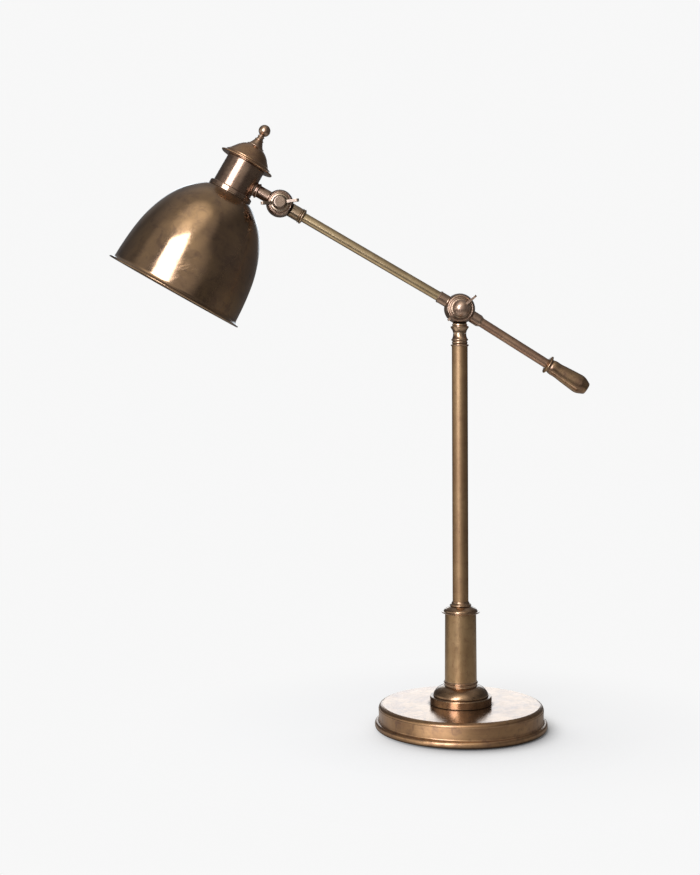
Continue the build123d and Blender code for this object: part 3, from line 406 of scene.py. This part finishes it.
paper = bpy.data.materials.new("studio_floor")
paper.use_nodes = True
t = Tree(paper.node_tree)
spot = t.put("ShaderNodeTexCoord").outputs["Object"]
far = t.put("ShaderNodeVectorMath", {"operation": "LENGTH"}, _0=spot).outputs["Value"]
path = t.put("ShaderNodeLightPath")
near_lamp = t.span(far, 0.36, 0.12)
paper_tone = t.noise(spot, 3.0, 3.0, 0.5, 0.0, 3.0)
share = t.maths("MULTIPLY", near_lamp, t.span(paper_tone, 0.3, 0.7, 0.285, 0.30))
# painted contact shadow: ambient occlusion darkens the floor's glow round the base, most towards the front
contact = t.put("ShaderNodeAmbientOcclusion", {"samples": 12})
contact.inputs["Distance"].default_value = 0.12
sideways = t.put("ShaderNodeSeparateXYZ", _0=spot)
leaning = t.span(t.maths("SUBTRACT", t.maths("MULTIPLY", sideways.outputs[0], 0.1), t.maths("MULTIPLY", sideways.outputs[1], 1.1)), -0.03, 0.12, 0.12, 0.95)
covered = t.span(contact.outputs["AO"], 1.0, 0.45, smooth=False)
painted_reflection_shade = t.maths("MULTIPLY_ADD", covered, -0.45, 1.0)
painted_floor_shadow = t.maths("SUBTRACT", 1.0, t.maths("MULTIPLY", covered, leaning))
# painted shadow: the light comes from the left, so the thin dark line painted at the foot is on the right
close = t.put("ShaderNodeAmbientOcclusion", {"samples": 12})
close.inputs["Distance"].default_value = 0.030
shaded = t.span(t.maths("SUBTRACT", sideways.outputs[0], t.maths("MULTIPLY", sideways.outputs[1], 0.60)), -0.03, 0.09, 0.05, 0.74)
painted_floor_shadow = t.maths("MULTIPLY", painted_floor_shadow, t.maths("SUBTRACT", 1.0, t.maths("MULTIPLY", t.span(close.outputs["AO"], 0.97, 0.48), shaded)))
diffuse = t.put("ShaderNodeBsdfDiffuse")
t.feed(diffuse, "Color", t.put("ShaderNodeCombineColor", _0=share, _1=share, _2=share).outputs[0])
glow = t.put("ShaderNodeEmission", _0=(1, 1, 1, 1))
t.feed(glow, "Strength", t.maths("MULTIPLY", painted_floor_shadow, t.maths("MULTIPLY_ADD", share, -FLOOR_LIGHT, PALE)))
lit = t.put("ShaderNodeAddShader", _0=diffuse.outputs[0], _1=glow.outputs[0])
clear = t.put("ShaderNodeBsdfTransparent")
seen = t.put("ShaderNodeMixShader", _0=t.span(far, 1.1, 3.6), _1=lit.outputs[0], _2=clear.outputs[0])
# painted reflection: what polished brass picks up from the floor, bright close to the lamp and in patches at the front
# left, dark further off and on the right near the lamp
mirrored = t.put("ShaderNodeEmission", _0=(1.0, 0.985, 0.96, 1))
left_patch = t.put("ShaderNodeVectorMath", {"operation": "DISTANCE"}, _0=spot, _1=(-0.50, -0.12, 0.0)).outputs["Value"]
spread = t.maths("ADD", t.span(far, 0.10, 0.85, 0.50, 0.09), t.span(left_patch, 0.38, 0.06, 0.0, 0.62))
dim = t.maths("MULTIPLY", t.span(sideways.outputs[0], -0.02, 0.07, 0.0, 0.45), t.span(far, 0.34, 0.14))
spread = t.maths("MULTIPLY", spread, t.maths("SUBTRACT", 1.0, dim))
near_patch = t.put("ShaderNodeVectorMath", {"operation": "DISTANCE"}, _0=spot, _1=(-0.080, -0.150, 0.0)).outputs["Value"]
spread = t.maths("ADD", spread, t.span(near_patch, 0.085, 0.02, 0.0, 1.9))
# painted shade: the floor seen in reflections darkens where ambient occlusion finds the base close by
t.feed(mirrored, "Strength", t.maths("MULTIPLY", t.maths("MULTIPLY", painted_reflection_shade, painted_reflection_shade), spread))
gone = t.put("ShaderNodeMixShader", _0=t.span(far, 1.1, 3.6), _1=mirrored.outputs[0], _2=clear.outputs[0])
ray = t.put("ShaderNodeMixShader", _0=path.outputs["Is Glossy Ray"], _1=seen.outputs[0], _2=gone.outputs[0])
t.feed(t.put("ShaderNodeOutputMaterial"), "Surface", ray.outputs[0])
floor_mesh.materials.append(paper)

world = bpy.data.worlds.new("studio")
scene.world = world
world.use_nodes = True
t = Tree(world.node_tree)
look = t.put("ShaderNodeTexCoord").outputs["Generated"]
path = t.put("ShaderNodeLightPath")


def toward(direction, narrow, wide, strength):
    """A soft patch of light round a direction: full inside the narrow angle, none outside the wide one."""
    dot = t.put("ShaderNodeVectorMath", {"operation": "DOT_PRODUCT"}, _0=look, _1=Vector(direction).normalized()).outputs["Value"]
    return t.span(dot, math.cos(rad(wide)), math.cos(rad(narrow)), 0.0, strength)


glowing = toward((-0.092, -0.522, 0.848), 3, 30, 0.68)
for direction, narrow, wide, strength in (
    ((0.05, -0.05, 1.0), 5, 56, 0.26),
    ((-0.229, -0.66, 0.715), 2, 12, 0.75),
    ((-0.68, -0.39, 0.62), 5, 24, 0.20),
    ((0.20, -0.74, 0.64), 3, 28, 0.30),
    ((-0.85, -0.15, 0.42), 10, 50, 0.07),
    ((-0.93, -0.25, -0.04), 8, 34, 0.68),
    ((0.02, -1.0, 0.04), 8, 42, 0.38),
    ((0.80, -0.60, 0.10), 5, 50, 0.04),
    ((-0.96, 0.27, -0.06), 8, 28, 0.46),
    ((0.99, 0.05, -0.08), 8, 34, 0.02),
    ((0.0, 0.77, 0.64), 10, 40, 0.10),
):
    glowing = t.maths("ADD", glowing, toward(direction, narrow, wide, strength))
glowing = t.maths("ADD", glowing, 0.085)
sides = t.put("ShaderNodeSeparateXYZ", _0=look)
aside = t.maths("ABSOLUTE", t.maths("SUBTRACT", sides.outputs[0], 0.11))
behind = t.maths("MULTIPLY", t.span(sides.outputs[1], 0.88, 0.94), t.span(sides.outputs[2], 0.02, 0.10, 0.0, 1.72))
behind = t.maths("MULTIPLY", behind, t.span(sides.outputs[2], 0.30, 0.46, 1.0, 0.0))
behind = t.maths("MULTIPLY", behind, t.span(aside, 0.20, 0.36, 1.0, 0.0))
seen = t.put("ShaderNodeBackground", _0=(PALE, PALE, PALE, 1), _1=1.0)
tint = t.mix(t.span(glowing, 0.10, 0.60), (1.0, 0.995, 1.02), (1.0, 0.975, 0.90))
felt = t.put("ShaderNodeBackground", _0=tint)
t.feed(felt, "_1", glowing)
wall = t.put("ShaderNodeBackground", _0=(0.88, 1.0, 1.11, 1))
t.feed(wall, "_1", behind)
around = t.put("ShaderNodeAddShader", _0=felt.outputs[0], _1=wall.outputs[0])
both = t.put("ShaderNodeMixShader", _0=path.outputs["Is Camera Ray"], _1=around.outputs[0], _2=seen.outputs[0])
t.feed(t.put("ShaderNodeOutputWorld"), "Surface", both.outputs[0])


def softbox(name, centre, lean, width, height, radiance, colour=(1, 1, 1)):
    """An upright rectangle of light facing the back, its top leaning to the right by the angle given."""
    light = bpy.data.lights.new(name, "AREA")
    light.shape = "RECTANGLE"
    light.size, light.size_y = width, height
    light.energy = radiance * math.pi * width * height
    light.color = colour
    obj = bpy.data.objects.new(name, light)
    scene.collection.objects.link(obj)
    along = Vector((math.sin(lean), 0, math.cos(lean)))
    over = Vector((math.cos(lean), 0, -math.sin(lean)))
    obj.matrix_world = Matrix.Translation(Vector(centre)) @ Matrix((over, along, over.cross(along))).transposed().to_4x4()
    obj.visible_camera = False
    return obj


softbox("key", (-0.96, -1.5, 1.02), 0.18, 1.04, 1.60, 7.0, (0.96, 1.0, 1.12))

# ---------------------------------------------------------------------------
# Camera: 700 x 875 frame, 1400 px focal length
# ---------------------------------------------------------------------------
FOCAL, DEPTH, SIDE, EYE = 1400.0, 1.54811, 0.121446, 0.399874
PITCH, YAW, ROLL, SHIFT = 0.0078345, rad(3.0), -0.0037951, 60.0
ahead = Vector((math.sin(YAW), math.cos(YAW), 0))
right = Vector((math.cos(YAW), -math.sin(YAW), 0))
place = -ahead * DEPTH - right * SIDE + UP * EYE
facing = ahead * math.cos(PITCH) - UP * math.sin(PITCH)
top = ahead * math.sin(PITCH) + UP * math.cos(PITCH)
rolled_right = right * math.cos(ROLL) + top * math.sin(ROLL)
rolled_top = -right * math.sin(ROLL) + top * math.cos(ROLL)
camera_data = bpy.data.cameras.new("camera")
camera_data.sensor_width = 36.0
camera_data.lens = FOCAL / 875.0 * 36.0
camera_data.shift_y = -SHIFT / 875.0
camera_data.clip_start, camera_data.clip_end = 0.05, 60
camera = bpy.data.objects.new("camera", camera_data)
scene.collection.objects.link(camera)
camera.matrix_world = Matrix.Translation(place) @ Matrix((rolled_right, rolled_top, -facing)).transposed().to_4x4()
scene.camera = camera

scene.view_settings.view_transform = "Standard"
scene.view_settings.look = "None"
scene.view_settings.exposure = 0.0
scene.view_settings.gamma = 1.0
